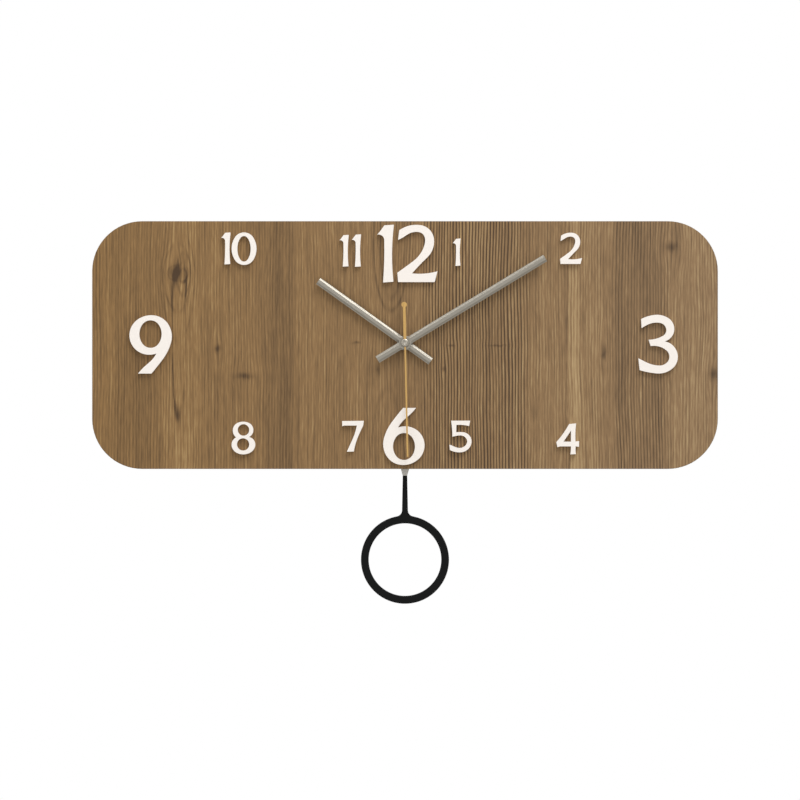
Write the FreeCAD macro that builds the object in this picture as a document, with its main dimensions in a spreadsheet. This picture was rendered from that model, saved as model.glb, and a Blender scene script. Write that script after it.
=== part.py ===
import FreeCAD, Part
import Sketcher
import math
import os
import re

# Wall clock with a pendulum: a wooden board with raised numerals, three hands, a battery movement
# behind the board and a ring pendulum that hangs below it.
# Row frame: millimetres, +Z up, +X towards three o'clock, the clock faces -Y. The origin is the
# centre of the hanger eye, on the wall plane. Each piece is drawn about the hand shaft instead: x and z
# are counted from the shaft, and depth is counted rearwards from the front face of the movement case.

V = FreeCAD.Vector

# Driving dimensions
SIZES = {
    # Board
    "board_width": 500, "board_height": 198, "board_corner": 40, "board_thick": 5,
    "board_low": 1.6, "board_hole": 8.6,
    # Numerals
    "numeral_thick": 3,
    # Where the clock hangs, and the movement case
    "hanger_rise": 42, "hanger_eye": 8, "hanger_width": 16, "hanger_thick": 2.5,
    "case_width": 56, "case_top": 28, "case_bottom": 70, "case_depth": 16.5,
    "case_wall": 1.5, "case_corner": 3, "cover_gap": 0.15,
    "bush_outer": 8, "bush_bore": 5.2, "bush_length": 9.2,
    "bay_roof_top": -11.6, "bay_roof_low": -12.7, "bay_floor_top": -27.7, "bay_floor_low": -28.9,
    "plate_front": 7.7, "plate_rear": 8.7, "post_x": 24.3, "post_high": 24.3, "post_low": -9.5,
    "slot_half": 8, "slot_front": 8, "slot_rear": 11.6,
    # Fixing on the bush
    "rubber_width": 40, "rubber_thick": 0.8, "nut_flats": 11, "nut_thick": 2, "bush_fit": 0.1,
    # Hands
    "hand_width": 6, "hand_flat": 2.4, "hand_lip": 0.3, "hand_sheet": 0.4, "hand_height": 1.4,
    "hour_length": 85, "hour_tail": 25.2, "minute_length": 130.5, "minute_tail": 25.7,
    "hand_hub": 10.4, "second_length": 90.7, "second_tail": 30.4, "second_width": 1.3,
    "second_tail_width": 2.2, "second_disc": 4.4, "second_sheet": 0.4, "second_cap": 6.4,
    "second_shoulder": 3, "cap_thick": 1.08, "cap_gap": 0.02,
    "hour_angle": 305.6, "minute_angle": 58.8, "second_angle": 178.7,
    "hour_depth": 11, "minute_depth": 13.4, "second_depth": 15,
    # Arbors of the gear train
    "pipe_outer": 5, "pipe_bore": 3.4, "tube_outer": 3.2, "tube_bore": 1.3, "sleeve_outer": 2.6,
    "pipe_end": 0.3, "arbor": 1, "arbor_rear": 14.95, "stud": 1, "long_stud": 1.2, "arbor_gap": 0.05,
    # Gear train: modules, tooth counts and the bearings of the axes
    "rotor_module": 0.46, "rotor_leaves": 6, "fifth_teeth": 36,
    "fifth_module": 0.53, "fifth_leaves": 6, "seconds_teeth": 30,
    "seconds_module": 0.48, "seconds_leaves": 6, "third_teeth": 45,
    "third_module": "=seconds_module * (third_teeth + seconds_leaves) / (centre_teeth + third_leaves)",
    "third_leaves": 6, "centre_teeth": 48,
    "motion_module": 0.5, "cannon_leaves": 8, "minute_teeth": 24, "setting_leaves": 12,
    "hour_module": "=motion_module * (cannon_leaves + minute_teeth) / (minute_leaves + hour_teeth)",
    "minute_leaves": 6, "hour_teeth": 24,
    "third_bearing": 35, "fifth_bearing": 150, "rotor_bearing": 135,
    # Depths of the wheels and leaves; joined parts of one piece run 0.1 into each other
    "wheel_thick": 1, "join": 0.1, "hour_front": 1.8, "cannon_front": 3.1, "cannon_rear": 4.3,
    "tube_rear": 3.12, "sleeve_rear": 6.2, "centre_front": 5, "third_front": 6.4, "third_leaf_front": 4.7,
    "seconds_front": 9.1, "seconds_leaf_front": 6.3, "fifth_front": 10.5, "fifth_leaf_front": 9,
    "rotor_front": 10.4, "rotor_rear": 14.4, "magnet_front": 12, "magnet_rear": 14.2,
    "motion_front": 3.2, "motion_leaf_front": 1.7, "minute_stud_rear": 4.6, "setting_stud_rear": 12,
    "lever_stud_rear": 14.8,
    # Motor, setting knob and circuit
    "magnet_outer": 6, "stator_front": 12.5, "stator_rear": 13.3, "stator_hole": 7,
    "coil_left": -22.2, "coil_right": -10.6, "coil_rise": 22.2, "coil_depth": 12.9, "coil_flange": 0.6,
    "knob_shaft": 2.4, "knob_head": 9.6, "knob_opening": 10.4, "knob_front": 14.6, "knob_rear": 16.2,
    "circuit_front": 12, "circuit_rear": 13, "crystal_radius": 1, "crystal_length": 6,
    # Battery
    "battery_across": 14.5, "battery_length": 50.5, "battery_low": 20.2, "battery_depth": 8.9,
    "terminal_across": 5.4, "terminal_length": 1,
    # Pendulum
    "pivot_low": 36, "pivot_stud": 2, "magnet_low": 54, "hook_low": 76,
    "arm_half": 2.2, "arm_front": 9, "arm_rear": 10.5, "hook_half": 1.2, "hook_top": 0.5,
    "strip_bottom": 106.4, "strip_width": 6.4, "strip_thick": 0.8,
    "ring_low": 173.9, "ring_outer": 70.8, "ring_bore": 58.4, "ring_thick": 3, "ring_fillet": 5,
    "stem_top_width": 3.6, "stem_low_width": 4.8, "tongue_half": 1.2, "tongue_length": 5,
    "pendulum_depth": 8.5,
}

doc = FreeCAD.newDocument("pendulum_wall_clock")
sheet = doc.addObject("Spreadsheet::Sheet", "Dimensions")
for row, (alias, size) in enumerate(SIZES.items(), start=1):
    sheet.set("A%d" % row, alias)
    sheet.set("B%d" % row, str(size))
    sheet.setAlias("B%d" % row, alias)
doc.recompute()

WORD = re.compile(r"[a-z]\w*")
pieces = []


def formula(text):
    """The text as a formula on the sheet's cells."""
    return WORD.sub(
        lambda word: "Dimensions." + word.group() if word.group() in SIZES else word.group(), str(text)
    )


def value(text):
    """What a formula gives now."""
    return float(sheet.evalExpression(formula(text)))


def bind(target, field, text):
    target.setExpression(field, formula(text))


def place(piece, x="0", z="0", turn="0"):
    """Put a piece's shaft axis at x and z from the hand shaft, turned clockwise as seen in front."""
    piece.Placement = FreeCAD.Placement(V(0, 0, 0), FreeCAD.Rotation(V(0, 1, 0), value(turn)))
    bind(piece, "Placement.Base.x", x)
    bind(piece, "Placement.Base.y", "-case_depth")
    bind(piece, "Placement.Base.z", "(%s) - hanger_rise" % z)
    if turn != "0":
        bind(piece, "Placement.Rotation.Angle", turn)
    pieces.append(piece)


# Sketches and the features made from them

def new_body(label):
    piece = doc.addObject("PartDesign::Body", label)
    piece.Label = label
    return piece


def origin_part(body, role):
    return next(item for item in body.Origin.OriginFeatures if item.Role == role)


def sketch(body, name, draws, offset="0", role="XZ_Plane"):
    """A sketch on one of the body's own planes, moved along the plane's normal by the offset."""
    profile = body.newObject("Sketcher::SketchObject", name + "_sketch")
    profile.AttachmentSupport = [(origin_part(body, role), "")]
    profile.MapMode = "FlatFace"
    bind(profile, "AttachmentOffset.Base.z", offset)
    for draw in draws:
        draw(profile)
    return profile


def fix(profile, kind, first, first_point, second, second_point, text):
    """A distance between two points, bound to the sheet."""
    last = profile.addConstraint(
        Sketcher.Constraint(kind, first, first_point, second, second_point, value(text)))
    bind(profile, "Constraints[%d]" % last, text)


def centre_on(profile, index, x, z):
    if value(x) == 0 and value(z) == 0:
        profile.addConstraint(Sketcher.Constraint("Coincident", index, 3, -1, 1))
        return
    fix(profile, "DistanceX", -1, 1, index, 3, x)
    fix(profile, "DistanceY", -1, 1, index, 3, z)


def circle(across, x="0", z="0"):
    """A circle of the diameter given."""
    def draw(profile):
        ring = Part.Circle(V(value(x), value(z), 0), V(0, 0, 1), value(across) / 2)
        index = profile.addGeometry(ring)
        last = profile.addConstraint(Sketcher.Constraint("Diameter", index, value(across)))
        bind(profile, "Constraints[%d]" % last, across)
        centre_on(profile, index, x, z)
    return draw


def rectangle(left, low, right, top):
    """A rectangle between four edges, each a formula."""
    def draw(profile):
        x0, z0, x1, z1 = value(left), value(low), value(right), value(top)
        corners = [V(x0, z0, 0), V(x1, z0, 0), V(x1, z1, 0), V(x0, z1, 0)]
        sides = [
            profile.addGeometry(Part.LineSegment(corner, corners[(k + 1) % 4]))
            for k, corner in enumerate(corners)
        ]
        for k, side in enumerate(sides):
            profile.addConstraint(Sketcher.Constraint("Coincident", side, 2, sides[(k + 1) % 4], 1))
            profile.addConstraint(Sketcher.Constraint("Vertical" if k % 2 else "Horizontal", side))
        fix(profile, "DistanceX", -1, 1, sides[0], 1, left)
        fix(profile, "DistanceY", -1, 1, sides[0], 1, low)
        fix(profile, "DistanceX", -1, 1, sides[2], 1, right)
        fix(profile, "DistanceY", -1, 1, sides[2], 1, top)
    return draw


def polygon(points):
    """A closed outline of straight edges."""
    def draw(profile):
        corners = [V(x, z, 0) for x, z in points]
        for k, corner in enumerate(corners):
            profile.addGeometry(Part.LineSegment(corner, corners[(k + 1) % len(corners)]))
    return draw


def slab(body, name, draws, front, rear):
    """Material between two depths, with the outline drawn; inner outlines are openings."""
    profile = sketch(body, name, draws, "-(%s)" % rear)
    pad = body.newObject("PartDesign::Pad", name)
    pad.Profile = profile
    bind(pad, "Length", "(%s) - (%s)" % (rear, front))
    build(body, profile, pad)
    return pad


def across(body, name, draws, left, right):
    """Material between two places in x; the outline is drawn in depth and z."""
    profile = sketch(body, name, draws, left, "YZ_Plane")
    pad = body.newObject("PartDesign::Pad", name)
    pad.Profile = profile
    bind(pad, "Length", "(%s) - (%s)" % (right, left))
    build(body, profile, pad)
    return pad


def build(body, *features):
    """Work out new features, and stop where one has no shape."""
    for feature in features:
        feature.recompute()
        if feature.Shape.isNull() or "Invalid" in feature.State:
            raise ValueError("%s of %s did not build" % (feature.Label, body.Label))


def cut(body, name, draws, front, rear):
    """Take away what lies inside the outline between two depths."""
    profile = sketch(body, name, draws, "-(%s)" % front)
    pocket = body.newObject("PartDesign::Pocket", name)
    pocket.Profile = profile
    bind(pocket, "Length", "(%s) - (%s)" % (rear, front))
    build(body, profile, pocket)
    before = pocket.BaseFeature.Shape.Volume
    if not before - pocket.Shape.Volume > 1e-6:
        raise ValueError("nothing was cut by %s of %s" % (name, body.Label))
    return pocket


def edge_names(feature, test):
    """The names of the feature's edges that pass a test on their box and length."""
    return [
        "Edge%d" % number for number, edge in enumerate(feature.Shape.Edges, start=1) if test(edge)
    ]


def runs_in_depth(edge):
    box = edge.BoundBox
    return box.YLength > 0.01 and box.XLength < 0.001 and box.ZLength < 0.001


def fillet(body, name, feature, test, radius):
    """A fillet on the feature's edges that pass a test."""
    rounding = body.newObject("PartDesign::Fillet", name)
    rounding.Base = (feature, edge_names(feature, test))
    bind(rounding, "Radius", radius)
    build(body, rounding)


# Gears

def wheel_teeth(teeth, module, phase):
    """Pointed wheel teeth: the angle and radius of each corner, with one tooth at the phase."""
    pitch_radius = module * teeth / 2
    root = pitch_radius - 1.3 * module
    tip = pitch_radius + 0.85 * module
    step = 360 / teeth
    return [
        corner for k in range(teeth)
        for corner in ((phase + (k - 0.5) * step, root), (phase + k * step, tip))
    ]


def pinion_leaves(teeth, module, phase):
    """Pinion leaves with a flat tip and a flat root."""
    pitch_radius = module * teeth / 2
    root = pitch_radius - 1.2 * module
    tip = pitch_radius + 0.8 * module
    at_root = math.degrees(0.62 * module / root)
    at_tip = math.degrees(0.25 * module / tip)
    return [
        (phase + k * 360 / teeth + turn, radius) for k in range(teeth)
        for turn, radius in ((-at_root, root), (-at_tip, tip), (at_tip, tip), (at_root, root))
    ]


def gear(body, name, form, teeth, module, front, rear, phase=0.0, bore=None):
    """A toothed disc between two depths, with one tooth centred at the phase angle."""
    corners = form(int(value(teeth)), value(module), phase)
    outline = [
        (radius * math.cos(math.radians(turn)), radius * math.sin(math.radians(turn)))
        for turn, radius in corners
    ]
    slab(body, name, [polygon(outline)] + ([circle(bore)] if bore else []), front, rear)


def meeting_phases(bearing, wheel_teeth):
    """Phases of a pinion and a wheel that mesh: the pinion's tooth points at the wheel."""
    return bearing, bearing + 180 + 180 / wheel_teeth


# Outlines drawn with a pen, for the numerals

# How far the arcs of a smooth outline may leave it, on a figure 25 mm tall
ARC_FIT = 0.2


class Pen:
    """Draws one closed outline in x and z; three points make an arc and more a smooth curve."""

    def __init__(self, x, z):
        self.start = self.at = V(x, 0, z)
        self.edges = []

    def line(self, *points):
        for x, z in points:
            end = V(x, 0, z)
            self.edges.append(Part.LineSegment(self.at, end).toShape())
            self.at = end
        return self

    def curve(self, *points):
        through = [self.at] + [V(x, 0, z) for x, z in points]
        if len(through) == 3:
            self.edges.append(Part.Arc(*through).toShape())
        else:
            smooth = Part.BSplineCurve()
            smooth.interpolate(through)
            self.edges.extend(arc.toShape() for arc in smooth.toBiArcs(ARC_FIT))
        self.at = through[-1]
        return self

    def close(self):
        if self.at.distanceToPoint(self.start) > 1e-6:
            self.line((self.start.x, self.start.z))
        return Part.Wire(self.edges)


def oval(x, z, across, tall):
    """An upright oval outline about x and z."""
    tip = V(x, 0, z + tall / 2)
    side = V(x + across / 2, 0, z)
    if across > tall:
        tip, side = side, tip
    whole = Part.Ellipse(tip, side, V(x, 0, z)).toBSpline()
    return Part.Wire([arc.toShape() for arc in whole.toBiArcs(ARC_FIT)])


# Board

def make_board():
    board = new_body("board")
    half = "board_width / 2"
    front = "-rubber_thick - board_thick"
    rear = "-rubber_thick"
    blank = slab(board, "panel", [rectangle("-" + half, "-board_height / 2", half, "board_height / 2")],
                 front, rear)
    fillet(board, "corners", blank, runs_in_depth, "board_corner")
    cut(board, "bush_hole", [circle("board_hole", "0", "board_low")], front, rear)
    place(board, "0", "-board_low")


# Numerals: each digit is drawn as a 25 mm tall figure from its lower left corner

def digit_one():
    return [Pen(0, 20.8).curve((1.4, 22.5), (3.0, 24.8)).line((7.2, 25.1)).curve((6.4, 12), (7.0, 0.3))
            .line((2.5, 0)).curve((3.0, 9.5), (3.0, 18.8)).curve((2.1, 20.3), (0, 20.8)).close()]


def digit_two():
    return [Pen(0.3, 18.4)
            .curve((4.2, 20.6), (8.2, 21.95), (11.3, 20.8), (12.1, 18.0), (10.5, 13.3), (6.6, 8.9), (0, 4.1))
            .line((0.3, 0), (16.3, 0), (17.5, 4.7)).curve((12.1, 3.7), (6.4, 3.8))
            .curve((9.9, 7.4), (13.6, 11.5), (15.9, 16.5), (15.2, 21.3), (11.8, 24.2), (7.7, 24.9), (0.8, 22.6))
            .close()]


def digit_three():
    return [Pen(1.4, 19.5)
            .curve((4.5, 21.2), (7.9, 21.9), (10.9, 21.0), (12.0, 18.8), (10.7, 16.5), (7.9, 15.0), (4.4, 14.5))
            .line((5.3, 11.8))
            .curve((9.4, 11.5), (12.4, 9.6), (13.4, 7.0), (11.6, 4.2), (8.3, 3.5), (4.0, 4.6), (0, 6.6))
            .line((0.6, 1.5))
            .curve((4.2, 0.5), (7.9, 0), (12.9, 1.1), (16.3, 4.4), (16.8, 7.9), (15.0, 11.7), (11.3, 13.85))
            .curve((14.4, 16.2), (15.3, 19.4), (13.7, 23.1), (10.3, 24.8), (6.2, 25.0), (1.2, 23.4))
            .close()]


def digit_four():
    return [Pen(10.2, 24.3).line((15.8, 24.8)).curve((15.2, 17.5), (15.3, 10.3))
            .line((18.2, 10.7), (18.1, 6.0), (15.4, 6.5)).curve((15.3, 3.2), (15.6, 0.2))
            .line((11.2, 0)).curve((11.6, 3.2), (11.7, 6.4)).line((2.8, 6.4), (0.8, 5.8), (0, 9.8))
            .curve((5.6, 16.8), (10.2, 24.3)).close(),
            Pen(11.7, 19.1).line((5.7, 10.2), (11.7, 10.2)).close()]


def digit_five():
    return [Pen(1.4, 25.1).line((16.5, 25.1), (15.6, 20.8)).curve((11, 21.7), (5.6, 21.7))
            .line((5.4, 15.9))
            .curve((9.0, 16.1), (12.8, 15.5), (16.4, 12.7), (17.6, 8.5), (15.6, 3.4), (11.2, 0.5), (5.9, 0.1),
                   (0.4, 1.9))
            .line((0, 6.2))
            .curve((4.6, 4.3), (8.4, 3.5), (12.2, 5.0), (14.1, 8.7), (12.6, 12.0), (9.1, 13.4), (5.8, 13.2),
                   (2.4, 12.4))
            .curve((2.1, 19), (1.4, 25.1)).close()]


def digit_six():
    return [Pen(14.5, 25).curve((12.5, 22.8), (9.4, 19.9), (6.6, 16.4))
            .curve((9.8, 16.9), (13.8, 15.8), (17.0, 12.9), (18.2, 8.7), (16.9, 4.1), (13.4, 0.9), (9.2, 0),
                   (4.4, 1.1), (1.0, 4.6), (0, 8.7), (1.1, 13.7), (4.6, 19.8), (8.8, 25))
            .close(),
            oval(9.2, 8.1, 9.6, 11.8)]


def digit_seven():
    return [Pen(0, 24.6).line((17.4, 24.8), (16.9, 21.0))
            .curve((14.8, 16.6), (12.1, 10.0), (10.5, 5.2), (9.4, 0.2)).line((3.8, 0))
            .curve((7.3, 7.6), (10.2, 14.8), (11.8, 21.0)).line((1.7, 21.0), (0.1, 20.4)).close()]


def digit_eight():
    return [Pen(3.6, 13.3)
            .curve((1.5, 16.0), (1.0, 19.4), (3.1, 23.7), (9.0, 25.6), (14.9, 23.7), (17.0, 19.4), (16.3, 16.2),
                   (13.7, 13.6))
            .curve((17.2, 11.2), (18.5, 7.2), (16.0, 2.4), (9.5, 0), (2.6, 2.2), (0, 7.0), (0.9, 10.8),
                   (3.6, 13.3))
            .close(),
            oval(9.3, 19.1, 9.0, 8.4), oval(9.0, 7.8, 9.6, 9.0)]


def digit_nine():
    """The six, turned half round."""
    half_turn = FreeCAD.Placement(V(18.2, 0, 25), FreeCAD.Rotation(V(0, 1, 0), 180))
    wires = digit_six()
    for wire in wires:
        wire.Placement = half_turn
    return wires


def digit_zero():
    return [oval(9.75, 12.7, 19.5, 25.4), oval(9.7, 12.6, 10.4, 20.0)]


DRAWN_HEIGHT = 25.0
DIGITS = [digit_zero, digit_one, digit_two, digit_three, digit_four,
          digit_five, digit_six, digit_seven, digit_eight, digit_nine]

# For each hour: digit, left edge and lower edge from the hand shaft, and height
NUMERALS = {
    12: [(1, -22.1, 48.3, 45.9), (2, -6.1, 48.6, 45.7)],
    1: [(1, 38.1, 61.5, 21.8)],
    2: [(2, 123.8, 63.1, 24.9)],
    3: [(3, 186.2, -24.5, 46.6)],
    4: [(4, 120.8, -88.9, 24.9)],
    5: [(5, 35.4, -87.3, 25.2)],
    6: [(6, -17.6, -97.4, 45.6)],
    7: [(7, -50.2, -86.8, 24.9)],
    8: [(8, -138.4, -88.9, 25.5)],
    9: [(9, -219.9, -24.4, 46.6)],
    10: [(1, -146.6, 62.7, 25.4), (0, -138.4, 62.3, 25.5)],
    11: [(1, -52.2, 60.9, 25.3), (1, -42.5, 60.8, 25.8)],
}


def make_numerals():
    """The raised figures of all hours, each digit a piece by itself, glued to the board."""
    front = -value("rubber_thick + board_thick")
    solids = []
    for digits in NUMERALS.values():
        for digit, left, low, tall in digits:
            figure = Part.Face(DIGITS[digit](), "Part::FaceMakerBullseye")
            figure.scale(tall / DRAWN_HEIGHT)
            figure.translate(V(left, front, low))
            solids.append(figure.extrude(V(0, -value("numeral_thick"), 0)))
    numerals = doc.addObject("Part::Feature", "hour_numerals")
    numerals.Label = "hour_numerals"
    numerals.Shape = Part.makeCompound(solids)
    place(numerals)


# Hands

def make_hand(label, length, tail, depth, bore, angle):
    """A hand folded from sheet into a shallow channel, with square ends and a drilled round hub."""
    hand = new_body(label)
    edge = value("hand_width") / 2
    flat = value("hand_flat") / 2
    lip = edge - value("hand_lip")
    gauge = value("hand_sheet")
    crest = -value(depth)
    foot = crest + value("hand_height")
    rise = foot - gauge - crest
    inset = gauge * (math.hypot(lip - flat, rise) - (lip - flat)) / rise
    outer = [(-edge, foot - gauge), (-lip, foot - gauge), (-flat, crest), (flat, crest),
             (lip, foot - gauge), (edge, foot - gauge), (edge, foot)]
    inner = [(lip - inset, foot), (flat - inset, crest + gauge), (inset - flat, crest + gauge),
             (inset - lip, foot), (-edge, foot)]
    section = sketch(hand, "section", [polygon(outer + inner)], "-(%s)" % tail, "XY_Plane")
    channel = hand.newObject("PartDesign::Pad", "channel")
    channel.Profile = section
    bind(channel, "Length", "%s + %s" % (length, tail))
    build(hand, section, channel)
    slab(hand, "hub", [circle("hand_hub")], "-%s" % depth, "hand_height - %s" % depth)
    cut(hand, "hub_hole", [circle("%s + arbor_gap" % bore)], "-%s - 1" % depth, "0")
    place(hand, turn=angle)


def make_second_hand():
    """The needle, its wider tail with a round end, and the round cap over the arbor's tip."""
    hand = new_body("second_hand")
    front = "-second_depth"
    rear = "second_sheet - second_depth"
    slab(hand, "tail", [
        rectangle("-second_tail_width / 2", "-second_tail", "second_tail_width / 2", "second_shoulder"),
        circle("arbor + arbor_gap"),
    ], front, rear)
    slab(hand, "needle", [rectangle("-second_width / 2", "second_shoulder - 0.1", "second_width / 2",
                                    "second_length")], front, rear)
    slab(hand, "tail_disc", [circle("second_disc", "0", "-second_tail")], front, rear)
    place(hand, turn="second_angle")

    cap = new_body("second_hand_cap")
    slab(cap, "crown", [circle("second_cap")], "-second_depth - cap_gap - cap_thick", "-second_depth - cap_gap")
    place(cap, turn="second_angle")


# Fixing on the threaded bush

def make_fixing():
    nut = new_body("fixing_nut")
    seat = "-rubber_thick - board_thick"
    reach = value("nut_flats") / math.cos(math.radians(30)) / 2
    hexagon = [
        (reach * math.cos(math.radians(60 * k)), reach * math.sin(math.radians(60 * k))) for k in range(6)
    ]
    slab(nut, "hexagon", [polygon(hexagon), circle("bush_outer + bush_fit")], seat + " - nut_thick", seat)
    place(nut)

    rubber = new_body("rubber_pad")
    half = "rubber_width / 2"
    slab(rubber, "sheet", [rectangle("-" + half, "-" + half, half, half), circle("bush_outer + bush_fit")],
         "-rubber_thick", "0")
    place(rubber)


# Movement case

def centre_distance(module, teeth, leaves):
    return "%s * (%s + %s) / 2" % (module, teeth, leaves)


def along(reach, bearing):
    """x and z of a point a reach away at a bearing counted anticlockwise from +X."""
    return "%s * cos(%s * 1 deg)" % (reach, bearing), "%s * sin(%s * 1 deg)" % (reach, bearing)


STUD_RISE = centre_distance("motion_module", "minute_teeth", "cannon_leaves")
KNOB_RISE = "%s + %s" % (STUD_RISE, centre_distance("motion_module", "minute_teeth", "setting_leaves"))
THIRD_X, THIRD_Z = along(centre_distance("seconds_module", "third_teeth", "seconds_leaves"), "third_bearing")
FIFTH_X, FIFTH_Z = along(centre_distance("fifth_module", "seconds_teeth", "fifth_leaves"), "fifth_bearing")
ROTOR_FROM = along(centre_distance("rotor_module", "fifth_teeth", "rotor_leaves"), "rotor_bearing")
ROTOR_X = "%s + %s" % (FIFTH_X, ROTOR_FROM[0])
ROTOR_Z = "%s + %s" % (FIFTH_Z, ROTOR_FROM[1])
INNER_LEFT = "case_wall + cover_gap - case_width / 2"
INNER_RIGHT = "case_width / 2 - case_wall - cover_gap"


def box(x, z, half):
    """A square about x and z."""
    return rectangle("%s - %s" % (x, half), "%s - %s" % (z, half), "%s + %s" % (x, half),
                     "%s + %s" % (z, half))


def make_case_front():
    """The front moulding: floor, walls, bay walls, threaded bush, studs and posts."""
    case = new_body("case_front")
    block = slab(case, "block", [rectangle("-case_width / 2", "-case_bottom", "case_width / 2", "case_top")],
                 "0", "case_depth")
    fillet(case, "corners", block, runs_in_depth, "case_corner")
    left = "case_wall - case_width / 2"
    right = "case_width / 2 - case_wall"
    for name, low, top in (("train_hollow", "bay_roof_top", "case_top - case_wall"),
                           ("battery_bay", "bay_floor_top", "bay_roof_low"),
                           ("pendulum_hollow", "case_wall - case_bottom", "bay_floor_low")):
        cut(case, name, [rectangle(left, low, right, top)], "case_wall", "case_depth")
    cut(case, "contact_notch", [rectangle(right + " - 1.5", "bay_roof_low - 0.1", right, "bay_roof_top + 0.1")],
        "2.8", "case_depth")
    cut(case, "lever_slot", [rectangle("-slot_half", "-case_bottom - 1", "slot_half",
                                       "case_wall - case_bottom + 0.5")], "slot_front", "slot_rear")
    cut(case, "hanger_notch", [rectangle("-hanger_width / 2", "case_top - case_wall - 0.1", "hanger_width / 2",
                                         "case_top + 1")], "case_depth - hanger_thick", "case_depth + 1")
    slab(case, "bush", [circle("bush_outer")], "-bush_length", "0.2")
    cut(case, "bush_bore", [circle("bush_bore")], "-bush_length - 1", "case_wall + 1")
    posts = [box(x, z, "1.5") for x in ("-post_x", "post_x") for z in ("post_low", "post_high")]
    slab(case, "plate_posts", posts, "case_wall - 0.2", "plate_front")
    slab(case, "minute_stud", [circle("long_stud", "0", STUD_RISE)], "case_wall - 0.2", "minute_stud_rear")
    slab(case, "setting_stud", [circle("long_stud", "0", KNOB_RISE)], "case_wall - 0.2", "setting_stud_rear")
    slab(case, "third_stud", [circle("stud", THIRD_X, THIRD_Z)], "case_wall - 0.2", "plate_front - 0.1")
    slab(case, "lever_stud", [circle("pivot_stud", "0", "-pivot_low")], "case_wall - 0.2", "lever_stud_rear")
    place(case)


def make_wall_hanger():
    """The hanger that stands in a notch of the case's top wall, with the eye for the wall screw."""
    hanger = new_body("wall_hanger")
    front = "case_depth - hanger_thick"
    half = "hanger_width / 2"
    slab(hanger, "plate", [rectangle("-" + half, "case_top - case_wall", half, "hanger_rise")],
         front, "case_depth")
    slab(hanger, "head", [circle("hanger_width", "0", "hanger_rise")], front, "case_depth")
    cut(hanger, "eye", [circle("hanger_eye", "0", "hanger_rise")], front + " - 1", "case_depth + 1")
    place(hanger)


def make_middle_plate():
    """The inner plate over the train's front half; its posts carry the motor and the circuit."""
    plate = new_body("middle_plate")
    top = "case_top - case_wall - cover_gap"
    slab(plate, "plate", [
        rectangle(INNER_LEFT, "bay_roof_top + cover_gap", "post_x + 1.5", top),
        rectangle("-2.4", "-2.4", "2.4", KNOB_RISE + " + 2.4"),
    ], "plate_front", "plate_rear")
    slab(plate, "stator_posts", [box("-24", "16", "1"), box("-9", "20", "1")],
         "plate_rear - 0.1", "stator_front")
    slab(plate, "circuit_posts", [box("12", "23", "1"), box("22", "1", "1")],
         "plate_rear - 0.1", "circuit_front")
    place(plate)


def make_rear_cover():
    """The snap-in cover over the train, open at the setting knob, with two studs inside."""
    cover = new_body("rear_cover")
    inside = "case_depth - case_wall"
    slab(cover, "plate", [
        rectangle(INNER_LEFT, "bay_roof_top + cover_gap", INNER_RIGHT, "case_top - case_wall - cover_gap"),
        circle("knob_opening", "0", KNOB_RISE),
    ], inside, "case_depth")
    slab(cover, "fifth_stud", [circle("stud", FIFTH_X, FIFTH_Z)], "plate_rear + 0.1", inside + " + 0.2")
    slab(cover, "rotor_stud", [circle("stud", ROTOR_X, ROTOR_Z)], "plate_rear + 0.1", inside + " + 0.2")
    place(cover)

    lower = new_body("pendulum_cover")
    slab(lower, "plate", [rectangle(INNER_LEFT, "case_wall + cover_gap - case_bottom", INNER_RIGHT,
                                    "bay_floor_low - cover_gap")], inside, "case_depth")
    place(lower)


# Gear train

STUD_BORE = "stud + 2 * arbor_gap"
LONG_STUD_BORE = "long_stud + 2 * arbor_gap"


def make_hour_wheel():
    wheel = new_body("hour_wheel")
    gear(wheel, "wheel", wheel_teeth, "hour_teeth", "hour_module", "hour_front", "hour_front + wheel_thick",
         90 + 180 / value("hour_teeth"), "pipe_bore")
    slab(wheel, "pipe", [circle("pipe_outer"), circle("pipe_bore")], "-hour_depth - pipe_end",
         "hour_front + join")
    place(wheel)


def make_minute_arbor():
    """The cannon pinion with its tube to the minute hand and its sleeve for the centre wheel."""
    arbor = new_body("minute_arbor")
    gear(arbor, "pinion", pinion_leaves, "cannon_leaves", "motion_module", "cannon_front", "cannon_rear", 90.0,
         "tube_bore")
    slab(arbor, "tube", [circle("tube_outer"), circle("tube_bore")], "-minute_depth - pipe_end", "tube_rear")
    slab(arbor, "sleeve", [circle("sleeve_outer"), circle("tube_bore")], "cannon_rear - join", "sleeve_rear")
    place(arbor)


def make_centre_wheel():
    wheel = new_body("centre_wheel")
    phase = meeting_phases(value("third_bearing") + 180, value("centre_teeth"))[1]
    gear(wheel, "wheel", wheel_teeth, "centre_teeth", "third_module", "centre_front",
         "centre_front + wheel_thick", phase,
         "sleeve_outer + 2 * arbor_gap")
    place(wheel)


def make_third_wheel():
    wheel = new_body("third_wheel")
    leaf_phase = meeting_phases(value("third_bearing") + 180, value("centre_teeth"))[0]
    wheel_phase = meeting_phases(value("third_bearing"), value("third_teeth"))[1]
    gear(wheel, "wheel", wheel_teeth, "third_teeth", "seconds_module", "third_front",
         "third_front + wheel_thick", wheel_phase, STUD_BORE)
    gear(wheel, "pinion", pinion_leaves, "third_leaves", "third_module", "third_leaf_front",
         "third_front + join", leaf_phase, STUD_BORE)
    place(wheel, THIRD_X, THIRD_Z)


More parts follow.
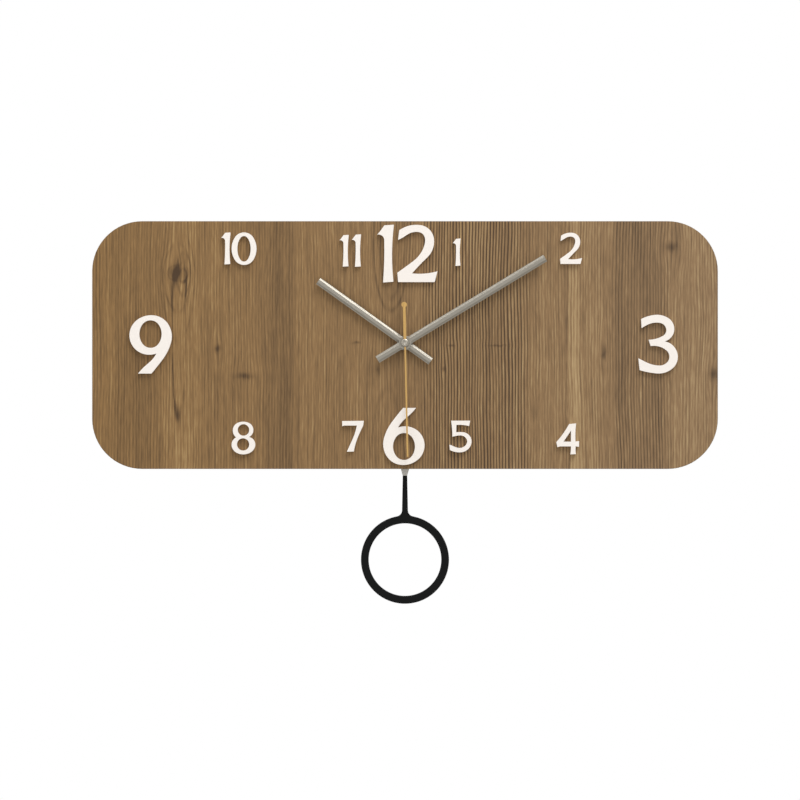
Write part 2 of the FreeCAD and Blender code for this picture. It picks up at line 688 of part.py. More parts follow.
def make_seconds_wheel():
    wheel = new_body("seconds_wheel")
    leaf_phase = meeting_phases(value("third_bearing"), value("third_teeth"))[0]
    wheel_phase = meeting_phases(value("fifth_bearing") + 180, value("seconds_teeth"))[1]
    bore = "arbor + 0.02"
    gear(wheel, "wheel", wheel_teeth, "seconds_teeth", "fifth_module", "seconds_front",
         "seconds_front + wheel_thick", wheel_phase, bore)
    gear(wheel, "pinion", pinion_leaves, "seconds_leaves", "seconds_module", "seconds_leaf_front",
         "seconds_front + join", leaf_phase, bore)
    place(wheel)

    arbor = new_body("seconds_arbor")
    slab(arbor, "shaft", [circle("arbor")], "-second_depth", "arbor_rear")
    place(arbor)


def make_fifth_wheel():
    wheel = new_body("fifth_wheel")
    leaf_phase = meeting_phases(value("fifth_bearing") + 180, value("seconds_teeth"))[0]
    wheel_phase = meeting_phases(value("rotor_bearing") + 180, value("fifth_teeth"))[1]
    gear(wheel, "wheel", wheel_teeth, "fifth_teeth", "rotor_module", "fifth_front",
         "fifth_front + wheel_thick", wheel_phase, STUD_BORE)
    gear(wheel, "pinion", pinion_leaves, "fifth_leaves", "fifth_module", "fifth_leaf_front",
         "fifth_front + join", leaf_phase, STUD_BORE)
    place(wheel, FIFTH_X, FIFTH_Z)


def make_rotor():
    """The motor's pinion, and the ring magnet that is pressed over the rear of its leaves."""
    rotor = new_body("rotor")
    leaf_phase = meeting_phases(value("rotor_bearing") + 180, value("fifth_teeth"))[0]
    gear(rotor, "pinion", pinion_leaves, "rotor_leaves", "rotor_module", "rotor_front", "rotor_rear",
         leaf_phase, STUD_BORE)
    place(rotor, ROTOR_X, ROTOR_Z)

    magnet = new_body("rotor_magnet")
    over_leaves = "rotor_module * (rotor_leaves + 1.6) + 0.02"
    slab(magnet, "ring", [circle("magnet_outer"), circle(over_leaves)], "magnet_front", "magnet_rear")
    place(magnet, ROTOR_X, ROTOR_Z)


def make_minute_wheel():
    wheel = new_body("minute_wheel")
    gear(wheel, "wheel", wheel_teeth, "minute_teeth", "motion_module", "motion_front",
         "motion_front + wheel_thick",
         270 + 180 / value("minute_teeth"), LONG_STUD_BORE)
    gear(wheel, "pinion", pinion_leaves, "minute_leaves", "hour_module", "motion_leaf_front",
         "motion_front + join", 270.0, LONG_STUD_BORE)
    place(wheel, "0", STUD_RISE)


def make_setting_knob():
    """The knob at the back that turns the hands: pinion, shaft and a head with sixteen flats."""
    knob = new_body("setting_knob")
    gear(knob, "pinion", pinion_leaves, "setting_leaves", "motion_module", "cannon_front", "cannon_rear", 270.0)
    slab(knob, "shaft", [circle("knob_shaft")], "cannon_rear - join", "knob_front + join")
    rim = value("knob_head") / 2
    flats = 16
    corners = [math.radians(360 * k / flats) for k in range(flats)]
    slab(knob, "head", [polygon([(rim * math.cos(a), rim * math.sin(a)) for a in corners])],
         "knob_front", "knob_rear")
    cut(knob, "bore", [circle(LONG_STUD_BORE)], "cannon_front - join", "setting_stud_rear + 0.2")
    place(knob, "0", KNOB_RISE)


# Motor, circuit and battery

def make_stator():
    """The iron plate round the rotor's magnet, with two arms up to the bar that carries the coil."""
    stator = new_body("stator")
    depths = ("stator_front", "stator_rear")
    slab(stator, "yoke", [
        rectangle("-22.5", ROTOR_Z + " - 5", "-8", ROTOR_Z + " + 5"),
        circle("stator_hole", ROTOR_X, ROTOR_Z),
    ], *depths)
    slab(stator, "left_arm", [rectangle("-25.5", ROTOR_Z + " - 3", "-22.4", "24")], *depths)
    slab(stator, "right_arm", [rectangle("-10.4", ROTOR_Z + " + 2", "-7.6", "24")], *depths)
    slab(stator, "core", [rectangle("-22.5", "21.4", "-10.3", "23")], *depths)
    place(stator)


def upright(deep, tall):
    """An upright rectangle round the coil's axis, drawn in depth and z."""
    return rectangle("coil_depth - %s / 2" % deep, "coil_rise - %s / 2" % tall,
                     "coil_depth + %s / 2" % deep, "coil_rise + %s / 2" % tall)


def make_coil():
    """The bobbin on the stator's bar, and the copper winding on the bobbin."""
    bobbin = new_body("coil_bobbin")
    bore = upright("0.86", "1.66")
    left_end = "coil_left + coil_flange"
    right_end = "coil_right - coil_flange"
    across(bobbin, "tube", [upright("1.6", "2.4"), bore], "coil_left", "coil_right")
    across(bobbin, "left_flange", [upright("4", "4"), bore], "coil_left", left_end)
    across(bobbin, "right_flange", [upright("4", "4"), bore], right_end, "coil_right")
    place(bobbin)

    winding = new_body("coil_winding")
    across(winding, "turns", [circle("3.7", "coil_depth", "coil_rise"), upright("1.62", "2.42")],
           left_end + " + cap_gap", right_end + " - cap_gap")
    place(winding)


def make_circuit():
    """The circuit board with its sealed chip, and the quartz crystal's can."""
    board = new_body("circuit_board")
    slab(board, "laminate", [rectangle("8", "-10.4", "post_x + 1.5", "25.4")], "circuit_front", "circuit_rear")
    slab(board, "sealed_chip", [box("17", "12", "2.5")], "circuit_rear - 0.1", "circuit_rear + 0.7")
    place(board)

    can = doc.addObject("Part::Cylinder", "quartz_crystal")
    can.Label = "quartz_crystal"
    bind(can, "Radius", "crystal_radius")
    bind(can, "Height", "crystal_length")
    lies_on = value("circuit_front - crystal_radius - case_depth")
    can.Placement = FreeCAD.Placement(V(21, lies_on, 15 - value("hanger_rise")), FreeCAD.Rotation())
    pieces.append(can)


def make_battery():
    """A standard single cell with its raised terminal."""
    cell = new_body("battery")
    end = "battery_length / 2"
    centre = ("battery_depth", "-battery_low")
    across(cell, "can", [circle("battery_across", *centre)], "-" + end, end + " - terminal_length")
    across(cell, "terminal", [circle("terminal_across", *centre)], end + " - terminal_length - 0.1", end)
    place(cell)


def make_contacts():
    """Spring strips at the two ends of the battery bay; one has a tail to the circuit board."""
    wall = "(case_width / 2 - case_wall)"
    positive = new_body("contact_positive")
    slab(positive, "blade", [rectangle(wall + " - 0.45", "-26.5", wall + " - 0.1", "-5")], "3", "14.6")
    slab(positive, "tail", [rectangle("22", "-8", wall + " - 0.4", "-5")],
         "circuit_rear + 0.05", "circuit_rear + 0.35")
    slab(positive, "button", [rectangle("battery_length / 2 + 0.1", "-21.6", wall + " - 0.4", "-18.8")],
         "7", "10.8")
    place(positive)

    negative = new_body("contact_negative")
    slab(negative, "blade", [rectangle("0.1 - " + wall, "-26.5", "0.45 - " + wall, "bay_roof_low - 0.4")],
         "3", "14.6")
    spring = [(-26.1, -25), (-26.1, -24.6), (-25.35, -20.4), (-26.1, -16.2), (-26.1, -15.8), (-25.7, -16.0),
              (-25.3, -20.4), (-25.7, -24.8)]
    slab(negative, "spring", [polygon(spring)], "6", "12")
    place(negative)


# Pendulum

def make_pendulum_lever():
    """The lever that swings on its stud: boss, magnet plate, arm through the slot and hook."""
    lever = new_body("pendulum_lever")
    drop = "(pivot_low - magnet_low)"
    hook = "(pivot_low - hook_low)"
    arm = ("arm_front", "arm_rear")
    slab(lever, "arm", [rectangle("-arm_half", hook + " - 1", "arm_half", "2.4")], *arm)
    slab(lever, "boss", [box("0", "0", "2.6")], "5", "13")
    slab(lever, "magnet_plate", [box("0", drop, "4.5")], *arm)
    cut(lever, "bore", [circle("pivot_stud + 2 * arbor_gap")], "4.9", "13.1")
    across(lever, "peg", [rectangle("7", hook + " - 0.9", "arm_front + 0.1", hook + " + hook_top")],
           "-hook_half", "hook_half")
    across(lever, "hook_lip", [rectangle("7", hook + " + hook_top - 0.1", "7.6", hook + " + hook_top + 1.2")],
           "-hook_half", "hook_half")
    place(lever, "0", "-pivot_low")

    magnet = new_body("lever_magnet")
    slab(magnet, "block", [box("0", "0", "3.5")], "6.5", "arm_front")
    place(magnet, "0", "-magnet_low")


def make_pendulum_drive():
    """The drive coil in front of the swinging magnet, on its own small circuit board."""
    board = new_body("drive_board")
    slab(board, "laminate", [rectangle("-14", "-67", "14", "-42")], "case_wall", "case_wall + 0.8")
    place(board)

    coil = new_body("drive_coil")
    slab(coil, "turns", [box("0", "0", "6"), box("0", "0", "2")], "case_wall + 0.8", "5")
    place(coil, "0", "-magnet_low")


def make_pendulum():
    """The bright strip that hangs on the hook, and the black ring with its stem."""
    strip = new_body("pendulum_strip")
    near = "pendulum_depth - strip_thick / 2"
    far = "pendulum_depth + strip_thick / 2"
    wide = value("strip_width") / 2
    top = value("stem_top_width") / 2
    tongue = value("tongue_half")
    low = -value("strip_bottom")
    shoulder = low + 5
    tip = low - value("tongue_length")
    head = -value("hook_low") + 3
    right_side = [(tongue, tip), (tongue, low), (top, low), (wide, shoulder), (wide, head)]
    left_side = [(-x, z) for x, z in reversed(right_side)]
    eye = rectangle("-hook_half - 0.2", "-hook_low - 1.3", "hook_half + 0.2", "hook_top - hook_low")
    slab(strip, "strip", [polygon(right_side + left_side), eye], near, far)
    place(strip)

    ring = new_body("pendulum_ring")
    front = "pendulum_depth - ring_thick / 2"
    rear = "pendulum_depth + ring_thick / 2"
    slab(ring, "ring", [circle("ring_outer", "0", "-ring_low"), circle("ring_bore", "0", "-ring_low")],
         front, rear)
    stem_low = value("ring_outer / 2 - ring_low")
    base = value("stem_low_width") / 2
    deep = stem_low - 2
    flare = stem_low + 3
    stem = slab(ring, "stem", [polygon([(-top, low), (-base, flare), (-base, deep), (base, deep),
                                        (base, flare), (top, low)])], front, rear)

    def at_stem_foot(edge):
        bounds = edge.BoundBox
        return runs_in_depth(edge) and abs(abs(bounds.XMin) - base) < 0.01 and bounds.ZMin < stem_low + 0.5

    fillet(ring, "stem_fillets", stem, at_stem_foot, "ring_fillet")
    slot = "tongue_half + cap_gap"
    cut(ring, "tongue_slot", [rectangle("-(%s)" % slot, "-strip_bottom - tongue_length - cap_gap", slot,
                                        "1 - strip_bottom")], near + " - cap_gap", far + " + cap_gap")
    place(ring)


make_board()
make_numerals()
make_hand("hour_hand", "hour_length", "hour_tail", "hour_depth", "pipe_outer", "hour_angle")
make_hand("minute_hand", "minute_length", "minute_tail", "minute_depth", "tube_outer", "minute_angle")
make_second_hand()
make_fixing()
make_case_front()
make_wall_hanger()
make_middle_plate()
make_rear_cover()
make_hour_wheel()
make_minute_arbor()
make_centre_wheel()
make_third_wheel()
make_seconds_wheel()
make_fifth_wheel()
make_rotor()
make_minute_wheel()
make_setting_knob()
make_stator()
make_coil()
make_circuit()
make_battery()
make_contacts()
make_pendulum_lever()
make_pendulum_drive()
make_pendulum()
doc.recompute()

for item in doc.Objects:
    if "Invalid" in item.State or "Error" in item.State:
        raise ValueError("%s did not build: %s" % (item.Label, item.State))
os.makedirs("parts", exist_ok=True)
for piece in pieces:
    shape = piece.Shape
    if shape.isNull() or not shape.isValid() or not shape.Solids:
        raise ValueError("%s has no valid solid" % piece.Label)
    shape.exportStep("parts/%s.step" % piece.Label)
print("%d pieces written" % len(pieces))
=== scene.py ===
import math

import bmesh
import bpy
from bpy.props import FloatProperty, FloatVectorProperty, IntProperty, PointerProperty
from mathutils import Matrix, Vector


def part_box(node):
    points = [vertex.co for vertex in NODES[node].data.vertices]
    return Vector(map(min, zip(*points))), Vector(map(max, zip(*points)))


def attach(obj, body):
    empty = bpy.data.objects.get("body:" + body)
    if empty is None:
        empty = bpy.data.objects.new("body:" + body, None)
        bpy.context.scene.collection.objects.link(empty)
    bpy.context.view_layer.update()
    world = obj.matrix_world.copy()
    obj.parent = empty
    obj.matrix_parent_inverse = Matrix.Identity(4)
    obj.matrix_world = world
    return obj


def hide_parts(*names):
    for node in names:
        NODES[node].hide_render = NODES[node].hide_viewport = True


bl_info = {
    "name": "Pendulum wall clock",
    "version": (1, 0, 0),
    "blender": (4, 5, 0),
    "location": "3D View > Sidebar > Clock",
    "description": "Dresses the frame of a wooden wall clock with a ring pendulum, and sets its stage",
    "category": "Object",
}

# The frame is in metres: +Z up, +X towards three o'clock, the dial faces -Y, and the wall is y = 0.
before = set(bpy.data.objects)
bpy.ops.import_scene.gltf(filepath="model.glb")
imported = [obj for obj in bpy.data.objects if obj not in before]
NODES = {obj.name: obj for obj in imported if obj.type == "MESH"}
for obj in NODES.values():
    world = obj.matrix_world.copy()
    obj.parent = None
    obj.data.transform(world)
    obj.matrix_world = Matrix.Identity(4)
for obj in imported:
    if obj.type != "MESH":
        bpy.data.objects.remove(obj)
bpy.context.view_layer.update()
MM = 0.001

# The hand shaft's height, the depth of the movement case's front face, and the battery's axis
SHAFT_Z = -42 * MM
CASE_FRONT_Y = -16.5 * MM
BATTERY_Z = SHAFT_Z - 20.2 * MM

# The board's width in mm
BOARD_WIDTH = 500

# How far apart the wave texture's bands and rings lie at a scale of 1
WAVE_PERIOD = 0.314


def linear(hex_colour):
    """An sRGB hex colour as linear RGBA."""
    levels = [int(hex_colour[k:k + 2], 16) / 255 for k in (1, 3, 5)]
    return tuple(v / 12.92 if v <= 0.04045 else ((v + 0.055) / 1.055) ** 2.4 for v in levels) + (1.0,)


# What a user would change

def length(name, description, default):
    return FloatProperty(name=name, description=description, default=default, unit="LENGTH",
                         subtype="DISTANCE", precision=5)


def colour(name, description, default):
    return FloatVectorProperty(name=name, description=description, default=linear(default), size=4,
                               min=0.0, max=1.0, subtype="COLOR")


class ClockSizes(bpy.types.PropertyGroup):
    board_rounding: length("Board edge", "Radius of the sanded edge round the board", 0.4 * MM)
    numeral_rounding: length("Numeral edge", "Radius of the edges of the cut numerals", 0.3 * MM)
    hand_rounding: length("Hand edge", "Radius of the folds and edges of the hands", 0.1 * MM)
    moulded_rounding: length("Moulded edge", "Radius of the edges of the moulded parts", 0.25 * MM)
    ring_rounding: length("Ring edge", "Radius of the edges of the pendulum's ring", 0.5 * MM)
    thread_pitch: length("Thread pitch", "Pitch of the thread on the bush", 0.75 * MM)
    knob_ribs: IntProperty(name="Knob ribs", description="Grip ribs round the setting knob",
                           default=24, min=8, max=60)


class ClockColours(bpy.types.PropertyGroup):
    pine_knot: colour("Knots", "Darkest wood, in the knots", "#46331F")
    pine_late: colour("Late wood", "Dark lines of the grain", "#6C5232")
    pine_mid: colour("Stained pine", "Middle tone of the board", "#8A6A41")
    pine_early: colour("Early wood", "Light lines of the grain", "#A98B5C")
    pine_pale: colour("Palest wood", "Lightest streaks of the grain", "#C2A274")
    acrylic: colour("Numerals", "Colour of the acrylic numerals", "#F0E9E2")
    # The hands' colour is darker than bare aluminium: painted shade, so that their lower folds look
    # dark
    aluminium: colour("Hands", "Colour of the aluminium", "#938E84")
    gilt: colour("Second hand", "Colour of the gilt needle", "#C09B60")
    ring: colour("Ring", "Colour of the pendulum's ring", "#0B0C0C")
    case: colour("Case", "Colour of the movement case", "#1C1C1E")


# Knots of the board: x and z of the centre from the hand shaft, half width, half height, how far
# the grain is pushed aside (all mm), and how dark the knot is
KNOTS = (
    (-183.5, 56.8, 4.8, 4.8, 7.0, 0.30),
    (-149.6, -4.8, 2.2, 2.8, 3.4, 0.32),
    (-128.2, -26.6, 6.2, 2.4, 2.6, 0.32),
    (-39.0, 0.0, 2.8, 1.0, 0.8, 0.25),
    (-21.6, -21.5, 1.2, 4.5, 1.0, 0.20),
    (37.2, -1.8, 2.2, 0.9, 1.0, 0.30),
    (74.0, -1.8, 6.5, 0.8, 0.6, 0.22),
    (31.2, -20.8, 1.2, 1.6, 1.2, 0.25),
    (159.0, -8.8, 1.6, 4.0, 3.0, 0.30),
    (213.0, 76.8, 4.4, 3.4, 4.0, 0.32),
    (246.6, -24.8, 3.6, 4.6, 4.0, 0.32),
)

# Long pointed rings of the grain: centre, half width, half height (mm), darkness of the outline,
# and how much of it stays at the two tips
FLAMES = (
    (-180.6, 2.0, 5.6, 60.0, 0.46, 1.0),
    (-181.2, 56.0, 5.4, 6.6, 0.16, 0.6),
    (-179.5, 53.9, 2.6, 5.5, 0.30, 0.8),
    (-178.2, 55.0, 4.6, 17.0, 0.26, 0.4),
    (-181.6, 52.0, 8.6, 27.0, 0.28, 0.0),
    (-181.0, 46.0, 12.0, 44.0, 0.20, 0.0),
    (-178.0, 90.0, 4.0, 24.0, 0.16, 0.0),
    (-11.0, 86.0, 15.0, 60.0, 0.24, 0.8),
    (-11.0, 92.0, 9.5, 56.0, 0.20, 0.8),
    (-24.0, -50.0, 6.0, 44.0, 0.14, 0.1),
    (-108.0, 60.0, 7.0, 70.0, 0.10, 0.0),
    (137.0, -30.0, 7.5, 170.0, 0.18, 0.0),
    (137.5, 30.0, 3.6, 150.0, 0.14, 0.0),
    (-14.0, -120.0, 14.0, 84.0, 0.14, 0.3),
)

# Tone of the board across its width: x from the shaft in mm, and lightness about 0.5
PLANKS = (
    (-250, 0.43), (-238, 0.46), (-222, 0.41), (-192, 0.44), (-180, 0.55), (-168, 0.53),
    (-160, 0.47), (-116, 0.46), (-104, 0.35), (-92, 0.36), (-84, 0.47), (-50, 0.48), (-22, 0.48),
    (6, 0.46), (28, 0.52), (60, 0.53), (94, 0.53), (99, 0.50), (128, 0.51), (136, 0.69), (145, 0.55),
    (166, 0.52), (172, 0.44), (200, 0.45), (208, 0.51), (236, 0.54), (250, 0.54),
)

# Strength of the combed lines across the board's width
COMBED = (
    (-250, 0.20), (-200, 0.22), (-160, 0.20), (-116, 0.22), (-84, 0.18), (-40, 0.18), (10, 0.26),
    (30, 0.95), (60, 1.00), (94, 1.00), (100, 0.24), (166, 0.24), (172, 0.50), (204, 0.42),
    (216, 0.22), (250, 0.22),
)

# Bands, streaks and fibres of the wood: size on each axis in mm, drawn out along the height, how
# many finer steps each has, and how far it moves the tone
WOOD_LAYERS = (
    ((34, 34, 80), 2.0, 0.14),
    ((22, 22, 300), 2.0, 0.15),
    ((3.6, 3.6, 150), 3.0, 0.20),
    ((1.2, 1.2, 50), 2.0, 0.43),
    ((0.8, 0.8, 12), 1.0, 0.40),
)


# Materials

def add(tree, kind, inputs=(), stops=(), **settings):
    """Add a shader node: its settings, its inputs as values or linked sockets, its ramp's stops."""
    made = tree.nodes.new("ShaderNode" + kind)
    for field, choice in settings.items():
        setattr(made, field, choice)
    for socket, given in dict(inputs).items():
        if isinstance(given, bpy.types.NodeSocket):
            tree.links.new(given, made.inputs[socket])
        else:
            made.inputs[socket].default_value = given
    if stops:
        ramp = made.color_ramp.elements
        while len(ramp) > 1:
            ramp.remove(ramp[-1])
        ramp[0].position, ramp[0].color = stops[0]
        for place, tint in stops[1:]:
            ramp.new(place).color = tint
    return made


def new_material(name, roughness=0.5, metallic=0.0, base=(0.8, 0.8, 0.8, 1.0)):
    """A material with one surface shader; gives the material, its tree and the shader's inputs."""
    material = bpy.data.materials.new(name)
    material.use_nodes = True
    tree = material.node_tree
    tree.nodes.clear()
    shader = add(tree, "BsdfPrincipled",
                 {"Base Color": base, "Roughness": roughness, "Metallic": metallic})
    add(tree, "OutputMaterial", {"Surface": shader.outputs[0]})
    return material, tree, shader.inputs


def scaled(tint, factor):
    """A colour made darker or lighter."""
    return tuple(min(1.0, level * factor) for level in tint[:3]) + (1.0,)


def millimetres(tree, turn=0.0):
    """The place on the clock in millimetres from the hand shaft, turned about the shaft."""
    spot = add(tree, "TexCoord").outputs["Object"]
    spot = add(tree, "VectorMath", {0: spot, 1: (1 / MM,) * 3, 2: (0, 0, -SHAFT_Z / MM)},
               operation="MULTIPLY_ADD").outputs[0]
    if turn:
        spot = add(tree, "VectorRotate", {"Vector": spot, "Angle": turn},
                   rotation_type="Y_AXIS").outputs[0]
    return spot


def stretched(tree, spot, size, detail=2.0, roughness=0.5):
    """Noise whose grain is size mm long on each axis."""
    cells = add(tree, "VectorMath", {0: spot, 1: tuple(1 / side for side in size)},
                operation="MULTIPLY").outputs[0]
    return add(tree, "TexNoise", {"Vector": cells, "Scale": 1.0, "Detail": detail,
                                  "Roughness": roughness}).outputs["Fac"]


def finish(tree, sockets, tint, dark, light, height, depth):
    """Colour that runs from dark to light by one pattern, and a relief by another, depth mm deep."""
    ramp = add(tree, "ValToRGB", {"Fac": tint}, stops=((0.25, dark), (0.75, light)))
    tree.links.new(ramp.outputs[0], sockets["Base Color"])
    bump = add(tree, "Bump", {"Height": height, "Distance": depth * MM, "Strength": 1.0})
    tree.links.new(bump.outputs[0], sockets["Normal"])


def oval(tree, spot, x, z, wide, tall):
    """An oval on the board: the place counted from its centre in half widths and half heights, and
    a soft hump over it, 1 at the centre and 1 / e at its edge."""
    per = (1 / wide, 0, 1 / tall)
    away = add(tree, "VectorMath", {0: spot, 1: per, 2: (-x * per[0], 0, -z * per[2])},
               operation="MULTIPLY_ADD").outputs[0]
    square = add(tree, "VectorMath", {0: away, 1: away}, operation="DOT_PRODUCT").outputs["Value"]
    hump = add(tree, "Math", {0: 1 / math.e, 1: square}, operation="POWER").outputs[0]
    return away, hump


def knotted(tree, spot):
    """The grain's own place, which wanders and bows round the knots, and the knots' darkness."""
    # The lines of the grain wander by a few millimetres over 140 mm of height
    wander = 7.0
    drift = stretched(tree, spot, (50, 50, 140))
    drift = add(tree, "Math", {0: drift, 1: wander, 2: -wander / 2},
                operation="MULTIPLY_ADD").outputs[0]
    drift = add(tree, "CombineXYZ", {"X": drift}).outputs[0]
    grain = add(tree, "VectorMath", {0: spot, 1: drift}, operation="ADD").outputs[0]
    # The edge of a knot is ragged by up to 1.7 mm each way, in steps of about 6 mm
    rag = 1.7
    ragged = add(tree, "VectorMath", {0: spot, 1: (1 / 6,) * 3}, operation="MULTIPLY").outputs[0]
    ragged = add(tree, "TexNoise", {"Vector": ragged, "Scale": 1.0, "Detail": 2.0}).outputs["Color"]
    ragged = add(tree, "VectorMath", {0: ragged, 1: (2 * rag, 0, 2 * rag), 2: spot},
                 operation="MULTIPLY_ADD").outputs[0]
    shade = 0.0
    for x, z, wide, tall, push, dark in KNOTS:
        # The lines bow over about four times the knot's width and nine times its height
        away, bend = oval(tree, spot, x, z, wide * 2.2, tall * 4.5)
        shove = add(tree, "VectorMath", {0: away, "Scale": bend}, operation="SCALE").outputs[0]
        grain = add(tree, "VectorMath", {0: shove, 1: (-push, 0, 0), 2: grain},
                    operation="MULTIPLY_ADD").outputs[0]
        core = oval(tree, ragged, x + rag, z + rag, wide, tall)[1]
        shade = add(tree, "Math", {0: core, 1: dark, 2: shade}, operation="MULTIPLY_ADD").outputs[0]
    return grain, shade


def flamed(tree, spot, grain, shade):
    """Darkness of the knots with that of the flames' outlines added."""
    # Lines fade in and out along the height
    patchy = stretched(tree, spot, (5, 5, 26), 3.0, 0.6)
    patchy = add(tree, "MapRange", {"Value": patchy, "From Min": 0.32, "From Max": 0.62}).outputs[0]
    # The outline is about 0.6 mm wide at the flame's sides
    outline = 0.6
    for x, z, wide, tall, dark, tip in FLAMES:
        per = (1 / wide, 0, 1 / tall)
        around = add(tree, "VectorMath", {0: grain, 1: per, 2: (-x * per[0], 0, -z * per[2])},
                     operation="MULTIPLY_ADD").outputs[0]
        reach = add(tree, "VectorMath", {0: around}, operation="LENGTH").outputs["Value"]
        off = add(tree, "Math", {0: reach, 1: wide / outline, 2: -wide / outline},
                  operation="MULTIPLY_ADD").outputs[0]
        off = add(tree, "Math", {0: off, 1: off}, operation="MULTIPLY").outputs[0]
        line = add(tree, "Math", {0: 1 / math.e, 1: off}, operation="POWER").outputs[0]
        line = add(tree, "Math", {0: line, 1: patchy}, operation="MULTIPLY").outputs[0]
        # The outline is weaker towards the tips
        side = add(tree, "SeparateXYZ", {0: around}).outputs["X"]
        side = add(tree, "Math", {0: side}, operation="ABSOLUTE").outputs[0]
        side = add(tree, "Math", {0: side, 1: 1 - tip, 2: tip}, operation="MULTIPLY_ADD").outputs[0]
        line = add(tree, "Math", {0: line, 1: side}, operation="MULTIPLY").outputs[0]
        shade = add(tree, "Math", {0: line, 1: dark, 2: shade}, operation="MULTIPLY_ADD").outputs[0]
    return shade


def stained_pine(colours):
    """Knotty pine veneer, brushed along the grain and stained: a matt board of pale early wood with
    dark lines of late wood, which bow round the knots."""
    material, tree, sockets = new_material("stained_pine_brushed", roughness=0.62)
    sockets["Specular IOR Level"].default_value = 0.25
    spot = millimetres(tree)
    grain, shade = knotted(tree, spot)
    shade = flamed(tree, spot, grain, shade)
    across = add(tree, "SeparateXYZ", {0: grain}).outputs["X"]
    across = add(tree, "Math", {0: across, 1: 1 / BOARD_WIDTH, 2: 0.5},
                 operation="MULTIPLY_ADD").outputs[0]
    ramps = []
    for levels in (PLANKS, COMBED):
        stops = [(x / BOARD_WIDTH + 0.5, (level, level, level, 1.0)) for x, level in levels]
        ramps.append(add(tree, "ValToRGB", {"Fac": across}, stops=stops).outputs[0])
    tone, combed = ramps
    # Annual rings cut lengthwise, drawn out along the height: a dark line each 2.4 mm or so, uneven
    # in strength
    ring_strength = 1.26
    rings = add(tree, "VectorMath", {0: grain, 1: (1.0, 0.0, 0.02)}, operation="MULTIPLY").outputs[0]
    rings = add(tree, "TexWave", {"Vector": rings, "Scale": WAVE_PERIOD / 2.4, "Distortion": 5.0,
                                  "Detail": 2.0, "Detail Scale": 0.35, "Detail Roughness": 0.6},
                wave_type="BANDS", bands_direction="X", wave_profile="SIN").outputs["Fac"]
    rings = add(tree, "Math", {0: rings, 1: 2.5}, operation="POWER").outputs[0]
    uneven = stretched(tree, grain, (7, 7, 110))
    rings = add(tree, "Math", {0: rings, 1: uneven}, operation="MULTIPLY").outputs[0]
    rings = add(tree, "Math", {0: rings, 1: combed}, operation="MULTIPLY").outputs[0]
    tone = add(tree, "Math", {0: rings, 1: -ring_strength, 2: tone},
               operation="MULTIPLY_ADD").outputs[0]
    for size, detail, strength in WOOD_LAYERS:
        layer = stretched(tree, grain, size, detail, 0.6)
        layer = add(tree, "Math", {0: layer, 1: strength, 2: -strength / 2},
                    operation="MULTIPLY_ADD").outputs[0]
        tone = add(tree, "Math", {0: tone, 1: layer}, operation="ADD").outputs[0]
    tone = add(tree, "Math", {0: tone, 1: shade}, operation="SUBTRACT").outputs[0]
    stain = ((0.0, colours.pine_knot), (0.27, colours.pine_late), (0.5, colours.pine_mid),
             (0.7, colours.pine_early), (1.0, colours.pine_pale))
    stain = add(tree, "ValToRGB", {"Fac": tone}, stops=[(k, tuple(tint)) for k, tint in stain])
    # The stain is warmer towards nine o'clock and greyer towards three
    warmth = add(tree, "MapRange", {"Value": across, "To Min": 1.0, "To Max": 0.87}).outputs[0]
    stain = add(tree, "HueSaturation", {"Saturation": warmth, "Color": stain.outputs[0]})
    tree.links.new(stain.outputs[0], sockets["Base Color"])
    # The dark lines are fine grooves, up to 0.08 mm deep
    grooves = add(tree, "Bump", {"Height": tone, "Distance": 0.08 * MM, "Strength": 1.0})
    tree.links.new(grooves.outputs[0], sockets["Normal"])
    return material


def sawn_fibreboard(name, dark, light):
    """Medium density fibreboard, sawn: fine felted fibres, without grain or gloss."""
    material, tree, sockets = new_material(name, roughness=0.85)
    spot = millimetres(tree)
    # Fibres about 2 mm long lie at random; drawn at 2.5 mm so that they show
    fibres = stretched(tree, spot, (2.5,) * 3, 4.0, 0.7)
    pores = stretched(tree, spot, (1.2,) * 3)
    finish(tree, sockets, fibres, linear(dark), linear(light), pores, 0.04)
    return material


def cast_acrylic(colours):
    """Opaque cast acrylic, laser cut: an even white with a soft gloss and a faint haze."""
    base = tuple(colours.acrylic)
    material, tree, sockets = new_material("cast_acrylic_white", roughness=0.35, base=base)
    sockets["IOR"].default_value = 1.49
    spot = millimetres(tree)
    haze = stretched(tree, spot, (18,) * 3)
    # Casting leaves a slight orange peel, about 4 mm across
    peel = stretched(tree, spot, (4,) * 3, 1.0)
    finish(tree, sockets, haze, scaled(base, 0.985), base, peel, 0.01)
    return material


def brushed_metal(name, base, turn=0.0, roughness=0.35, scratch=0.35):
    """Sheet metal brushed along its length: fine lines that spread the highlight across."""
    material, tree, sockets = new_material(name, roughness=roughness, metallic=1.0, base=base)
    spot = millimetres(tree, turn)
    # The grit leaves lines some 0.05 mm wide; drawn wider so that they show, and deep enough for
    # the highlight to spread from edge to edge of a hand
    lines = stretched(tree, spot, (scratch, scratch, 30))
    finish(tree, sockets, lines, scaled(base, 0.86), base, lines, 0.13)
    rough = add(tree, "MapRange", {"Value": lines, "To Min": roughness - 0.06,
                                   "To Max": roughness + 0.1})
    tree.links.new(rough.outputs[0], sockets["Roughness"])
    return material


def turned_metal(name, base):
    """Metal turned on a lathe about the hand shaft: fine rings round the axis."""
    material, tree, sockets = new_material(name, roughness=0.28, metallic=1.0, base=base)
    # The tool leaves a ring each 0.1 mm; drawn at 0.35 mm so that they show
    rings = add(tree, "TexWave", {"Vector": millimetres(tree), "Scale": WAVE_PERIOD / 0.35,
                                  "Distortion": 0.4},
                wave_type="RINGS", rings_direction="Y", wave_profile="SIN").outputs["Fac"]
    finish(tree, sockets, rings, scaled(base, 0.72), base, rings, 0.02)
    return material


